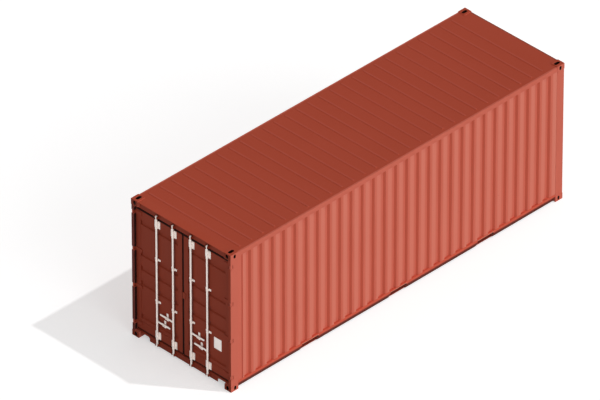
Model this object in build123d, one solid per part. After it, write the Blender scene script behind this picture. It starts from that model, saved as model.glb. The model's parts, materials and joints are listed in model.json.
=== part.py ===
from build123d import *
import os

# A steel shipping container with two hinged end doors and four turning lock rods.
# X runs along the length with the doors at the -X end, Y runs across it and Z is up.
# The origin is on the ground under the middle of the container. Units are millimetres.
# "Depth" is measured inwards from the end plane of the corner castings, and "inset"
# inwards from their side plane. The right side (-Y) is drawn and mirrored to the left.

# Overall size, over the corner castings
LENGTH = 8230.0
WIDTH = 2438.0
HEIGHT = 2896.0

# Corner castings
CASTING_LENGTH = 178.0
CASTING_WIDTH = 162.0
CASTING_HEIGHT = 118.0
CASTING_OUTER_WALL = 15.0
CASTING_INNER_WALL = 12.0
CASTING_SLOT_PLATE = 28.5
CASTING_BACK_PLATE = 10.0
SLOT_LENGTH = 124.0
SLOT_WIDTH = 63.5
SLOT_FROM_END = 101.5
SLOT_FROM_SIDE = 89.0
SIDE_HOLE_WIDTH = 51.0
END_HOLE_WIDTH = 63.5
HOLE_HEIGHT = 79.5

# Posts and rails of the frame
FACE_SETBACK = 5.0
POST_THICKNESS = 60.0
ROOF_DROP = 12.0
SHEET = 2.0
TOP_RAIL_WIDTH = 60.0
TOP_RAIL_HEIGHT = 92.0
RAIL_FOOT = 16.0
RAIL_PLATE = 6.0
BOTTOM_RAIL_TOP = 165.0
BOTTOM_RAIL_STEP_HEIGHT = 96.0
BOTTOM_RAIL_STEP = 40.0
BOTTOM_RAIL_FLANGE = 54.0
FRONT_RAIL_WIDTH = 60.0
FRONT_RAIL_TOP = 180.0

# Corrugated walls
WAVE_DEPTH = 36.0
WAVE_PITCH = 274.0
WAVE_FLAT = 101.0
WAVE_SLOPE = 36.0
WAVE_END_FLAT = 110.0
WALL_SETBACK = 8.0

# Roof sheet with pressed cross ribs
ROOF_LAP = 35.0
RIB_FIRST = 335.0
RIB_PITCH = 276.0
RIB_WIDTH = 46.0
RIB_HEIGHT = 9.0
RIB_TAPER = 45.0
RIB_EDGE_GAP = 100.0

# Floor, cross members and fork pockets
FLOOR_TOP = 165.0
FLOOR_THICKNESS = 28.0
FLOOR_EDGE_GAP = 1.0
CROSS_MEMBER_PITCH = 300.0
CROSS_MEMBER_FIRST = 330.0
CROSS_MEMBER_FLANGE = 45.0
CROSS_MEMBER_PLATE = 5.0
POCKET_WIDTH = 400.0
POCKET_SPACING = 2176.0
POCKET_PLATE = 8.0
POCKET_ROOF = 6.0
POCKET_NOTCH_TOP = 139.0
POCKET_STRAP = 6.0
POCKET_STRAP_DEPTH = 250.0

# Door end frame
DOOR_DEPTH = 54.0
HEADER_BOTTOM_DROP = 156.0
HEADER_BACK_DEPTH = 140.0
HOOD_DEPTH = 6.0
HOOD_PLATE = 6.0
SILL_PLATE = 8.0
SILL_FRONT_TOP = 132.0
SILL_BACK_DEPTH = 172.0
SILL_NOTCH_WIDTH = 220.0
SILL_NOTCH_HEIGHT = 80.0
SILL_NOTCH_RADIUS = 45.0

# Door leaves
LEAF_THICKNESS = 50.0
LEAF_HINGE_GAP = 10.0
LEAF_TOP_GAP = 48.0
LEAF_BOTTOM_GAP = 48.0
MEETING_GAP = 45.0
STILE_WIDTH = 100.0
LEAF_RAIL_HEIGHT = 160.0
PANEL_SETBACK = 4.0
PANEL_SHEET = 3.0
GROOVE_DEPTH = 20.0
GROOVE_WIDTH = 100.0
GROOVE_FLOOR = 60.0
GROOVE_BOTTOM_GAP = 125.0
GROOVE_TOP_GAP = 82.0
GROOVE_MIDDLE_RISE = 44.0
GROOVE_SPACING = 310.0
GASKET_SETBACK = 3.0
GASKET_THICKNESS = 28.0
GASKET_HINGE_LIP = 3.0
GASKET_TOP_LIP = 28.0
GASKET_BOTTOM_LIP = 20.0
GASKET_LEFT_MEETING_LIP = 6.0
GASKET_RIGHT_MEETING_LIP = 28.0
POST_SEAL_SETBACK = 8.0
POST_SEAL_THICKNESS = 3.0
STOP_PLATE_HEIGHT = 1430.0
STOP_PLATE_LENGTH = 130.0
STOP_PLATE_SEAT = 40.0
STOP_PLATE_REACH = 30.0
STOP_PLATE_THICKNESS = 8.0

# Hinges
PIN_DEPTH = 24.0
PIN_INSET = 24.0
PIN_RADIUS = 11.0
PIN_ENGAGEMENT = 25.0
PIN_FIT = 0.3
KNUCKLE_RADIUS = 18.0
RUNNING_FIT = 0.5
BLADE_HEIGHT = 70.0
BLADE_THICKNESS = 9.0
BLADE_LENGTH = 134.0
BLADE_CLEARANCE = 5.0
HINGE_LOWEST = 297.0
HINGE_TOP_DROP = 266.0
HINGE_COUNT = 4
HINGE_POCKET_DEPTH = 66.0

# Lock rods, their bearings, cams and keepers
ROD_RADIUS = 17.0
ROD_DEPTH = 24.0
OUTER_ROD_Y = 620.0
INNER_ROD_Y = 219.0
ROD_BOTTOM = 44.0
ROD_TOP_DROP = 90.0
BEARING_WALL = 4.5
BEARING_BASE = 8.0
END_BEARING_WIDTH = 130.0
END_BEARING_HEIGHT = 150.0
GUIDE_WIDTH = 130.0
GUIDE_HEIGHT = 40.0
GUIDE_LOWER_HEIGHT = 975.0
GUIDE_UPPER_DROP = 1026.0
CAM_RADIUS = 24.0
CAM_HORN_HALF = 9.0
CAM_HEIGHT = 40.0
CAM_END_GAP = 8.0
KEEPER_CLEARANCE = 1.5
KEEPER_MOUTH_HALF = 19.5
KEEPER_HALF_WIDTH = 36.0
KEEPER_FRONT_DEPTH = 4.0
KEEPER_OVERLAP = 5.0

# Handles and their catches
OUTER_HANDLE_HEIGHT = 574.0
INNER_HANDLE_HEIGHT = 755.0
HANDLE_REACH = 325.0
HANDLE_PIVOT = 36.0
HANDLE_THICKNESS = 10.0
HANDLE_WIDTH = 34.0
HANDLE_PIN_RADIUS = 6.0
HUB_PLATE = 6.5
HUB_WIDTH = 32.0
CATCH_REACH = 170.0
CATCH_WIDTH = 44.0
CATCH_PLATE = 6.0
CATCH_BACK_HALF = 75.0
CATCH_LIP_DEPTH = 8.0
CATCH_LIP_RISE = 12.0

# How far a cut runs past the face that it opens
CUT_MARGIN = 1.0

# Places worked out from the sizes above
REAR = -LENGTH / 2
FRONT = LENGTH / 2
RIGHT = -WIDTH / 2
ROOF_TOP = HEIGHT - ROOF_DROP
ROOF_UNDERSIDE = ROOF_TOP - SHEET
TOP_RAIL_BOTTOM = ROOF_UNDERSIDE - TOP_RAIL_HEIGHT
POST_INNER = FACE_SETBACK + POST_THICKNESS
POST_TOP = HEIGHT - CASTING_HEIGHT
WEB_INSET = FACE_SETBACK + BOTTOM_RAIL_STEP
WEB_INNER = WEB_INSET + RAIL_PLATE
FLOOR_UNDERSIDE = FLOOR_TOP - FLOOR_THICKNESS
POCKET_TOP = FLOOR_UNDERSIDE - POCKET_ROOF
HEADER_BOTTOM = HEIGHT - HEADER_BOTTOM_DROP
LEAF_TOP = HEADER_BOTTOM - LEAF_TOP_GAP
LEAF_BOTTOM = SILL_FRONT_TOP + LEAF_BOTTOM_GAP
LEAF_OUTER_Y = RIGHT + POST_INNER + LEAF_HINGE_GAP
LEAF_MEETING_Y = -MEETING_GAP / 2
PANEL_DEPTH = DOOR_DEPTH + PANEL_SETBACK
ROD_TOP = HEIGHT - ROD_TOP_DROP
ROD_X = REAR + ROD_DEPTH
PIN_X = REAR + PIN_DEPTH
PIN_Y = RIGHT + PIN_INSET
HINGE_SPACING = (HEIGHT - HINGE_TOP_DROP - HINGE_LOWEST) / (HINGE_COUNT - 1)
HINGE_HEIGHTS = [HINGE_LOWEST + i * HINGE_SPACING for i in range(HINGE_COUNT)]
GUIDE_HEIGHTS = (GUIDE_LOWER_HEIGHT, HEIGHT - GUIDE_UPPER_DROP)
PANEL_BOTTOM = LEAF_BOTTOM + LEAF_RAIL_HEIGHT
PANEL_TOP = LEAF_TOP - LEAF_RAIL_HEIGHT
GROOVE_MIDDLE = (PANEL_BOTTOM + PANEL_TOP) / 2 + GROOVE_MIDDLE_RISE
GROOVE_HEIGHTS = (
    PANEL_BOTTOM + GROOVE_BOTTOM_GAP, GROOVE_MIDDLE - GROOVE_SPACING, GROOVE_MIDDLE,
    GROOVE_MIDDLE + GROOVE_SPACING, PANEL_TOP - GROOVE_TOP_GAP,
)
KEEPER_HEIGHT = CAM_HEIGHT + 2 * KEEPER_OVERLAP
TOP_CAM_TOP = ROD_TOP - CAM_END_GAP
BOTTOM_CAM_TOP = ROD_BOTTOM + CAM_END_GAP + CAM_HEIGHT


def span(a0, a1, b0, b1):
    """A rectangle between two corners of a plane."""
    return Pos((a0 + a1) / 2, (b0 + b1) / 2) * Rectangle(a1 - a0, b1 - b0)


def block(x0, x1, y0, y1, z0, z1):
    """A box between two corners."""
    return Pos((x0 + x1) / 2, (y0 + y1) / 2, (z0 + z1) / 2) * Box(x1 - x0, y1 - y0, z1 - z0)


def along_x(profile, x0, x1):
    """Extrude a (y, z) profile along X."""
    return extrude(Pos(x0, 0, 0) * (Plane.YZ * profile), amount=x1 - x0, dir=(1, 0, 0))


def along_y(profile, y0, y1):
    """Extrude an (x, z) profile along Y."""
    return extrude(Pos(0, y0, 0) * (Plane.XZ * profile), amount=y1 - y0, dir=(0, 1, 0))


def along_z(profile, z0, z1):
    """Extrude an (x, y) profile along Z."""
    return extrude(Pos(0, 0, z0) * profile, amount=z1 - z0, dir=(0, 0, 1))


def to_left(shape):
    """The same piece on the other side of the container."""
    return mirror(shape, about=Plane.XZ)


def to_front(shape):
    """The same piece at the other end of the container."""
    return mirror(shape, about=Plane.YZ)


def to_top(shape):
    """The same piece turned over to the other half of the height."""
    return mirror(shape, about=Plane.XY.offset(HEIGHT / 2))


def both_sides(shapes):
    """Pieces of the right side together with their left twins, as one node."""
    return Compound([*shapes, *[to_left(shape) for shape in shapes]])


def corner_casting():
    """The rear right bottom casting: a hollow block with a slot and two upright oval holes."""
    body = block(REAR, REAR + CASTING_LENGTH, RIGHT, RIGHT + CASTING_WIDTH, 0, CASTING_HEIGHT)
    hollow = block(
        REAR + CASTING_OUTER_WALL, REAR + CASTING_LENGTH - CASTING_INNER_WALL,
        RIGHT + CASTING_OUTER_WALL, RIGHT + CASTING_WIDTH - CASTING_INNER_WALL,
        CASTING_SLOT_PLATE, CASTING_HEIGHT - CASTING_BACK_PLATE,
    )
    slot_x = REAR + SLOT_FROM_END
    slot_y = RIGHT + SLOT_FROM_SIDE
    middle = CASTING_HEIGHT / 2
    slot = along_z(Pos(slot_x, slot_y) * SlotOverall(SLOT_LENGTH, SLOT_WIDTH), 0, CASTING_SLOT_PLATE)
    side_hole = along_y(
        Pos(slot_x, middle) * SlotOverall(HOLE_HEIGHT, SIDE_HOLE_WIDTH, rotation=90),
        RIGHT, RIGHT + CASTING_OUTER_WALL,
    )
    end_hole = along_x(
        Pos(slot_y, middle) * SlotOverall(HOLE_HEIGHT, END_HOLE_WIDTH, rotation=90),
        REAR, REAR + CASTING_OUTER_WALL,
    )
    return body - [hollow, slot, side_hole, end_hole]


def casting_space():
    """The blocks that the four castings of one level of the rear end take up, top and bottom."""
    lower = block(REAR, REAR + CASTING_LENGTH, RIGHT, RIGHT + CASTING_WIDTH, 0, CASTING_HEIGHT)
    right_pair = [lower, to_top(lower)]
    return [*right_pair, *[to_left(shape) for shape in right_pair]]


def rear_post():
    """The rear right post, cut back at each hinge so that the blade can turn about its pin."""
    section = span(REAR + FACE_SETBACK, REAR + CASTING_LENGTH, RIGHT + FACE_SETBACK, RIGHT + POST_INNER)
    post = along_z(section, CASTING_HEIGHT, POST_TOP)
    room = BLADE_HEIGHT / 2 + BLADE_CLEARANCE
    pockets = [
        block(REAR, REAR + HINGE_POCKET_DEPTH, RIGHT, RIGHT + POST_INNER + CUT_MARGIN, z - room, z + room)
        for z in HINGE_HEIGHTS
    ]
    reach = room + PIN_ENGAGEMENT
    sockets = [
        along_z(Pos(PIN_X, PIN_Y) * Circle(PIN_RADIUS + PIN_FIT), z - reach, z + reach)
        for z in HINGE_HEIGHTS
    ]
    return post - [*pockets, *sockets]


def hinge_pins():
    """The pins of the right door's hinges, held in the post above and below each blade."""
    reach = BLADE_HEIGHT / 2 + BLADE_CLEARANCE + PIN_ENGAGEMENT
    return [along_z(Pos(PIN_X, PIN_Y) * Circle(PIN_RADIUS), z - reach, z + reach) for z in HINGE_HEIGHTS]


def post_seals():
    """The rubber strips on the rear right post beside the leaf, broken at each hinge."""
    room = BLADE_HEIGHT / 2 + BLADE_CLEARANCE
    inner = RIGHT + POST_INNER
    levels = [SILL_FRONT_TOP]
    for z in HINGE_HEIGHTS:
        levels += [z - room, z + room]
    levels.append(HEADER_BOTTOM)
    return [
        block(REAR + POST_SEAL_SETBACK, REAR + DOOR_DEPTH, inner, inner + POST_SEAL_THICKNESS, low, high)
        for low, high in zip(levels[::2], levels[1::2])
    ]


def front_post():
    """The front right post, an angle whose legs meet the side wall and the front wall."""
    outer_x = FRONT - FACE_SETBACK
    outer_y = RIGHT + FACE_SETBACK
    side_leg = span(FRONT - CASTING_LENGTH, outer_x, outer_y, RIGHT + POST_INNER)
    front_leg = span(FRONT - POST_INNER, outer_x, outer_y, RIGHT + CASTING_WIDTH)
    return along_z(side_leg + front_leg, CASTING_HEIGHT, POST_TOP)


def top_rail():
    """The right top side rail."""
    section = span(
        RIGHT + FACE_SETBACK, RIGHT + FACE_SETBACK + TOP_RAIL_WIDTH, TOP_RAIL_BOTTOM, ROOF_UNDERSIDE
    )
    return along_x(section, REAR + CASTING_LENGTH, FRONT - CASTING_LENGTH)


def pocket_centres():
    """The middles of the fork pockets along the length."""
    return [-POCKET_SPACING, 0.0, POCKET_SPACING]


def bottom_rail():
    """The right bottom side rail: a stepped plate section with a notch at each fork pocket."""
    outer = RIGHT + FACE_SETBACK
    web = RIGHT + WEB_INSET
    foot = RAIL_FOOT
    step_top = BOTTOM_RAIL_STEP_HEIGHT + RAIL_PLATE
    section = (
        span(outer, RIGHT + WEB_INNER, BOTTOM_RAIL_TOP - RAIL_PLATE, BOTTOM_RAIL_TOP)
        + span(outer, outer + RAIL_PLATE, BOTTOM_RAIL_STEP_HEIGHT, BOTTOM_RAIL_TOP)
        + span(outer, web + RAIL_PLATE, BOTTOM_RAIL_STEP_HEIGHT, step_top)
        + span(web, web + RAIL_PLATE, foot, step_top)
        + span(web, web + BOTTOM_RAIL_FLANGE, foot, foot + RAIL_PLATE)
    )
    rail = along_x(section, REAR + CASTING_LENGTH, FRONT - CASTING_LENGTH)
    half = POCKET_WIDTH / 2
    flange_edge = web + BOTTOM_RAIL_FLANGE
    notches = []
    for x in pocket_centres():
        notches.append(block(x - half, x + half, RIGHT, flange_edge + CUT_MARGIN, 0, POCKET_TOP))
        notches.append(block(x - half, x + half, RIGHT, web, POCKET_TOP, POCKET_NOTCH_TOP))
    return rail - notches


def corrugated_sheet(start, end, outer, inwards):
    """The plan of a corrugated sheet from start to end, with its outer face at "outer".

    The recesses are centred between the ends, as many as fit beside the end flats.
    """
    room = end - start - 2 * WAVE_END_FLAT
    recess = WAVE_FLAT + 2 * WAVE_SLOPE
    count = int((room - recess) // WAVE_PITCH) + 1
    first = (start + end - (count - 1) * WAVE_PITCH) / 2
    line = [(start, 0.0)]
    for i in range(count):
        middle = first + i * WAVE_PITCH
        half = WAVE_FLAT / 2
        line.append((middle - half - WAVE_SLOPE, 0.0))
        line.append((middle - half, WAVE_DEPTH))
        line.append((middle + half, WAVE_DEPTH))
        line.append((middle + half + WAVE_SLOPE, 0.0))
    line.append((end, 0.0))
    face = [(a, outer + inwards * depth) for a, depth in line]
    back = [(a, outer + inwards * (depth + SHEET)) for a, depth in reversed(line)]
    return Polygon(*face, *back, align=None)


def side_wall():
    """The right corrugated side wall, from the bottom rail up to the top rail."""
    plan = corrugated_sheet(REAR + CASTING_LENGTH, FRONT - CASTING_LENGTH, RIGHT + WALL_SETBACK, 1)
    return along_z(plan, BOTTOM_RAIL_TOP, TOP_RAIL_BOTTOM)


def front_wall():
    """The corrugated front wall between the front posts."""
    edge = WIDTH / 2 - CASTING_WIDTH
    plan = Rot(0, 0, 90) * corrugated_sheet(-edge, edge, -FRONT + WALL_SETBACK, 1)
    return along_z(plan, FRONT_RAIL_TOP, TOP_RAIL_BOTTOM)


def front_rail(bottom, top):
    """A rail across the front end between the castings."""
    edge = WIDTH / 2 - CASTING_WIDTH
    outer = FRONT - FACE_SETBACK
    return block(outer - FRONT_RAIL_WIDTH, outer, -edge, edge, bottom, top)


def roof():
    """The roof sheet, laid on the rails, with hollow ribs pressed up across it."""
    rear = REAR + CASTING_LENGTH
    front = FRONT - CASTING_LENGTH
    half = WIDTH / 2 - ROOF_LAP
    front_half = WIDTH / 2 - CASTING_WIDTH
    sheet = block(rear, front, -half, half, ROOF_UNDERSIDE, ROOF_TOP)
    sheet += block(front, FRONT - ROOF_LAP, -front_half, front_half, ROOF_UNDERSIDE, ROOF_TOP)
    rib_length = WIDTH - 2 * RIB_EDGE_GAP
    last = LENGTH - CASTING_LENGTH - RIB_WIDTH - RIB_FIRST
    count = int(last // RIB_PITCH) + 1
    ribs = []
    hollows = []
    for i in range(count):
        x = REAR + RIB_FIRST + i * RIB_PITCH
        base = Pos(x, 0, ROOF_TOP) * Rectangle(RIB_WIDTH, rib_length)
        ribs.append(extrude(base, amount=RIB_HEIGHT, taper=RIB_TAPER))
        inner = Pos(x, 0, ROOF_UNDERSIDE) * Rectangle(RIB_WIDTH, rib_length)
        hollows.append(extrude(inner, amount=RIB_HEIGHT, taper=RIB_TAPER))
    return sheet + ribs - hollows


def floor():
    """The floor decking, from the door sill to the front rail, notched at the four posts."""
    half = WIDTH / 2 - WEB_INNER - FLOOR_EDGE_GAP
    front = FRONT - FACE_SETBACK - FRONT_RAIL_WIDTH
    decking = block(REAR + SILL_BACK_DEPTH, front, -half, half, FLOOR_UNDERSIDE, FLOOR_TOP)
    notch = block(
        REAR, REAR + CASTING_LENGTH + FLOOR_EDGE_GAP, RIGHT, RIGHT + POST_INNER + FLOOR_EDGE_GAP,
        FLOOR_UNDERSIDE, FLOOR_TOP,
    )
    right_notches = [notch, to_front(notch)]
    return decking - [*right_notches, *[to_left(cut) for cut in right_notches]]


def cross_members():
    """Channels under the floor from rail to rail, left out where a fork pocket runs."""
    half = WIDTH / 2 - WEB_INNER
    foot = RAIL_FOOT + RAIL_PLATE
    plate = CROSS_MEMBER_PLATE
    flange = CROSS_MEMBER_FLANGE
    pocket_half = POCKET_WIDTH / 2 + POCKET_PLATE
    count = int((LENGTH - 2 * CROSS_MEMBER_FIRST) // CROSS_MEMBER_PITCH) + 1
    members = []
    for i in range(count):
        x = REAR + CROSS_MEMBER_FIRST + i * CROSS_MEMBER_PITCH
        if any(x + flange > c - pocket_half and x < c + pocket_half for c in pocket_centres()):
            continue
        section = (
            span(x, x + plate, foot, FLOOR_UNDERSIDE)
            + span(x, x + flange, foot, foot + plate)
            + span(x, x + flange, FLOOR_UNDERSIDE - plate, FLOOR_UNDERSIDE)
        )
        members.append(along_y(section, -half, half))
    return Compound(members)


def fork_pockets():
    """A roof and two cheeks for each fork pocket, from rail to rail under the floor."""
    half = WIDTH / 2 - WEB_INNER
    foot = RAIL_FOOT + RAIL_PLATE
    inner = POCKET_WIDTH / 2
    outer = inner + POCKET_PLATE
    tunnels = []
    for x in pocket_centres():
        section = span(x - outer, x + outer, foot, FLOOR_UNDERSIDE) - span(x - inner, x + inner, 0, POCKET_TOP)
        tunnels.append(along_y(section, -half, half))
    return Compound(tunnels)


def pocket_straps():
    """The straps that close each fork pocket below, just inside the right rail."""
    inner = POCKET_WIDTH / 2
    edge = RIGHT + WEB_INNER
    foot = RAIL_FOOT + RAIL_PLATE
    return [
        block(x - inner, x + inner, edge, edge + POCKET_STRAP_DEPTH, foot, foot + POCKET_STRAP)
        for x in pocket_centres()
    ]


def door_header():
    """The box beam over the doors, under a hood plate that shelters the lock gear."""
    face = REAR + DOOR_DEPTH
    back = REAR + HEADER_BACK_DEPTH
    hood_bottom = ROOF_TOP - HOOD_PLATE
    wall = HOOD_PLATE
    box = span(face, back, HEADER_BOTTOM, hood_bottom)
    hollow = span(face + wall, back - wall, HEADER_BOTTOM + wall, hood_bottom)
    hood = span(REAR + HOOD_DEPTH, REAR + CASTING_LENGTH, hood_bottom, ROOF_TOP)
    edge = WIDTH / 2 - POST_INNER
    beam = along_y(box - hollow + hood, -edge, edge)
    return beam - casting_space()


def door_sill():
    """The pressed sill with a sloping top and a round-cornered notch beside each bottom casting."""
    face = REAR + DOOR_DEPTH
    back = REAR + SILL_BACK_DEPTH
    plate = SILL_PLATE
    outline = Polygon(
        (face, RAIL_FOOT), (back, RAIL_FOOT), (back, FLOOR_TOP), (face, SILL_FRONT_TOP), align=None
    )
    hollow = Polygon(
        (face + plate, 0), (back - plate, 0), (back - plate, FLOOR_TOP - 2 * plate),
        (face + plate, SILL_FRONT_TOP - plate), align=None,
    )
    edge = WIDTH / 2 - POST_INNER
    sill = along_y(outline - hollow, -edge, edge)
    notch_start = RIGHT + CASTING_WIDTH
    notch = block(
        REAR, back + CUT_MARGIN, notch_start, notch_start + SILL_NOTCH_WIDTH, 0, RAIL_FOOT + SILL_NOTCH_HEIGHT
    )
    notch = fillet(notch.edges().filter_by(Axis.X).group_by(Axis.Z)[-1], SILL_NOTCH_RADIUS)
    return sill - [notch, to_left(notch), *casting_space()]


def keeper(rod_y, bottom):
    """A keeper that closes round a cam, with a mouth that the turned cam can leave by."""
    face = REAR + DOOR_DEPTH
    section = span(REAR + KEEPER_FRONT_DEPTH, face, rod_y - KEEPER_HALF_WIDTH, rod_y + KEEPER_HALF_WIDTH)
    section -= Pos(ROD_X, rod_y) * Circle(CAM_RADIUS + KEEPER_CLEARANCE)
    section -= span(REAR, ROD_X, rod_y - KEEPER_MOUTH_HALF, rod_y + KEEPER_MOUTH_HALF)
    return along_z(section, bottom, bottom + KEEPER_HEIGHT)


def keepers(cam_top):
    """The two keepers of the right door's rods at one level."""
    bottom = cam_top - CAM_HEIGHT - KEEPER_OVERLAP
    return [keeper(-OUTER_ROD_Y, bottom), keeper(-INNER_ROD_Y, bottom)]


def leaf_frame():
    """The right door's frame of two stiles and two rails, joined all round."""
    outer = along_x(
        span(LEAF_OUTER_Y, LEAF_MEETING_Y, LEAF_BOTTOM, LEAF_TOP),
        REAR + DOOR_DEPTH, REAR + DOOR_DEPTH + LEAF_THICKNESS,
    )
    opening = along_x(
        span(
            LEAF_OUTER_Y + STILE_WIDTH, LEAF_MEETING_Y - STILE_WIDTH,
            PANEL_BOTTOM, PANEL_TOP,
        ),
        REAR + DOOR_DEPTH, REAR + DOOR_DEPTH + LEAF_THICKNESS,
    )
    return outer - opening


def leaf_panel():
    """The right door's sheet, with shallow grooves pressed across it."""
    face = REAR + PANEL_DEPTH
    line = [(PANEL_BOTTOM, 0.0)]
    for z in GROOVE_HEIGHTS:
        line.append((z - GROOVE_WIDTH / 2, 0.0))
        line.append((z - GROOVE_FLOOR / 2, GROOVE_DEPTH))
        line.append((z + GROOVE_FLOOR / 2, GROOVE_DEPTH))
        line.append((z + GROOVE_WIDTH / 2, 0.0))
    line.append((PANEL_TOP, 0.0))
    outer = [(face + depth, z) for z, depth in line]
    inner = [(face + depth + PANEL_SHEET, z) for z, depth in reversed(line)]
    profile = Polygon(*outer, *inner, align=None)
    return along_y(profile, LEAF_OUTER_Y + STILE_WIDTH, LEAF_MEETING_Y - STILE_WIDTH)


def leaf_gasket(meeting_lip):
    """The rubber seal round the edge of the right leaf."""
    front = REAR + DOOR_DEPTH + GASKET_SETBACK
    leaf = span(LEAF_OUTER_Y, LEAF_MEETING_Y, LEAF_BOTTOM, LEAF_TOP)
    outline = span(
        LEAF_OUTER_Y - GASKET_HINGE_LIP, LEAF_MEETING_Y + meeting_lip,
        LEAF_BOTTOM - GASKET_BOTTOM_LIP, LEAF_TOP + GASKET_TOP_LIP,
    )
    return along_x(outline - leaf, front, front + GASKET_THICKNESS)


def hinge_blade(z):
    """A cranked hinge blade: a knuckle on the pin, a tab back to the leaf and a plate on its face.

    The crank lets the opened door lie along the side without meeting the post's corner.
    """
    face = REAR + DOOR_DEPTH
    knuckle = Pos(PIN_X, PIN_Y) * Circle(KNUCKLE_RADIUS)
    tab = span(PIN_X, face, PIN_Y - KNUCKLE_RADIUS, PIN_Y + KNUCKLE_RADIUS)
    plate = span(face - BLADE_THICKNESS, face, PIN_Y, LEAF_OUTER_Y + BLADE_LENGTH)
    bore = Pos(PIN_X, PIN_Y) * Circle(PIN_RADIUS + RUNNING_FIT)
    section = knuckle + tab + plate - bore
    return along_z(section, z - BLADE_HEIGHT / 2, z + BLADE_HEIGHT / 2)


def saddle(rod_y, base_depth, base_width, bottom, height):
    """A bearing round a rod, on a base plate that lies on the door at base_depth."""
    base_x = REAR + base_depth
    outer = ROD_RADIUS + RUNNING_FIT + BEARING_WALL
    section = (
        span(base_x - BEARING_BASE, base_x, rod_y - base_width / 2, rod_y + base_width / 2)
        + span(ROD_X, base_x, rod_y - outer, rod_y + outer)
        + Pos(ROD_X, rod_y) * Circle(outer)
    )
    section -= Pos(ROD_X, rod_y) * Circle(ROD_RADIUS + RUNNING_FIT)
    return along_z(section, bottom, bottom + height)


def rod_bearings():
    """The right door's bearings: two wide ones on its rails and two guides for each rod."""
    seat = (LEAF_RAIL_HEIGHT - END_BEARING_HEIGHT) / 2
    bearings = []
    for rod_y in (-OUTER_ROD_Y, -INNER_ROD_Y):
        for bottom in (LEAF_BOTTOM + seat, LEAF_TOP - seat - END_BEARING_HEIGHT):
            bearings.append(saddle(rod_y, DOOR_DEPTH, END_BEARING_WIDTH, bottom, END_BEARING_HEIGHT))
        for z in GUIDE_HEIGHTS:
            bearings.append(saddle(rod_y, PANEL_DEPTH, GUIDE_WIDTH, z - GUIDE_HEIGHT / 2, GUIDE_HEIGHT))
    return bearings


def cam(rod_y, bottom):
    """A cam with two horns that lie behind the jaws of its keeper when locked."""
    horns = Circle(CAM_RADIUS) & Rectangle(2 * CAM_HORN_HALF, 2 * CAM_RADIUS)
    return along_z(Pos(ROD_X, rod_y) * horns, bottom, bottom + CAM_HEIGHT)


def lock_rod(rod_y, handle_z, toward):
    """A lock rod with its cams and the two hub plates and pin that carry its handle."""
    rod = along_z(Pos(ROD_X, rod_y) * Circle(ROD_RADIUS), ROD_BOTTOM, ROD_TOP)
    rod += [cam(rod_y, TOP_CAM_TOP - CAM_HEIGHT), cam(rod_y, BOTTOM_CAM_TOP - CAM_HEIGHT)]
    pivot_y = rod_y + toward * HANDLE_PIVOT
    low, high = sorted((rod_y, pivot_y))
    outline = span(low, high, handle_z - HUB_WIDTH / 2, handle_z + HUB_WIDTH / 2)
    outline += Pos(pivot_y, handle_z) * Circle(HUB_WIDTH / 2)
    inner = HANDLE_THICKNESS / 2 + RUNNING_FIT
    outer = inner + HUB_PLATE
    cheeks = [
        along_x(outline, ROD_X - outer, ROD_X - inner),
        along_x(outline, ROD_X + inner, ROD_X + outer),
    ]
    pin = along_x(Pos(pivot_y, handle_z) * Circle(HANDLE_PIN_RADIUS), ROD_X - outer, ROD_X + outer)
    return rod + cheeks + pin


def handle(rod_y, handle_z, toward):
    """A flat handle with round ends, pinned between the hub plates."""
    pivot_y = rod_y + toward * HANDLE_PIVOT
    tip_y = rod_y + toward * (HANDLE_REACH - HANDLE_WIDTH / 2)
    low, high = sorted((pivot_y, tip_y))
    half = HANDLE_WIDTH / 2
    outline = span(low, high, handle_z - half, handle_z + half)
    outline += Pos(pivot_y, handle_z) * Circle(half)
    outline += Pos(tip_y, handle_z) * Circle(half)
    outline -= Pos(pivot_y, handle_z) * Circle(HANDLE_PIN_RADIUS + RUNNING_FIT)
    return along_x(outline, ROD_X - HANDLE_THICKNESS / 2, ROD_X + HANDLE_THICKNESS / 2)


def handle_catch(rod_y, handle_z, toward):
    """A plate on the door behind a handle, with a shelf under it and a low lip in front."""
    middle = rod_y + toward * CATCH_REACH
    face = REAR + PANEL_DEPTH
    plate = CATCH_PLATE
    shelf = handle_z - HANDLE_WIDTH / 2 - RUNNING_FIT
    lip = REAR + CATCH_LIP_DEPTH
    profile = Polygon(
        (face, handle_z - CATCH_BACK_HALF), (face - plate, handle_z - CATCH_BACK_HALF),
        (face - plate, shelf - plate), (lip, shelf - plate), (lip, shelf + CATCH_LIP_RISE),
        (lip + plate, shelf + CATCH_LIP_RISE), (lip + plate, shelf), (face - plate, shelf),
        (face - plate, handle_z + CATCH_BACK_HALF), (face, handle_z + CATCH_BACK_HALF), align=None,
    )
    return along_y(profile, middle - CATCH_WIDTH / 2, middle + CATCH_WIDTH / 2)


def stop_plate():
    """The plate on the right leaf that closes the gap between the leaves at mid height."""
    face = REAR + DOOR_DEPTH
    return block(
        face - STOP_PLATE_THICKNESS, face,
        LEAF_MEETING_Y - STOP_PLATE_SEAT, LEAF_MEETING_Y + STOP_PLATE_REACH,
        STOP_PLATE_HEIGHT - STOP_PLATE_LENGTH / 2, STOP_PLATE_HEIGHT + STOP_PLATE_LENGTH / 2,
    )


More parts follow.
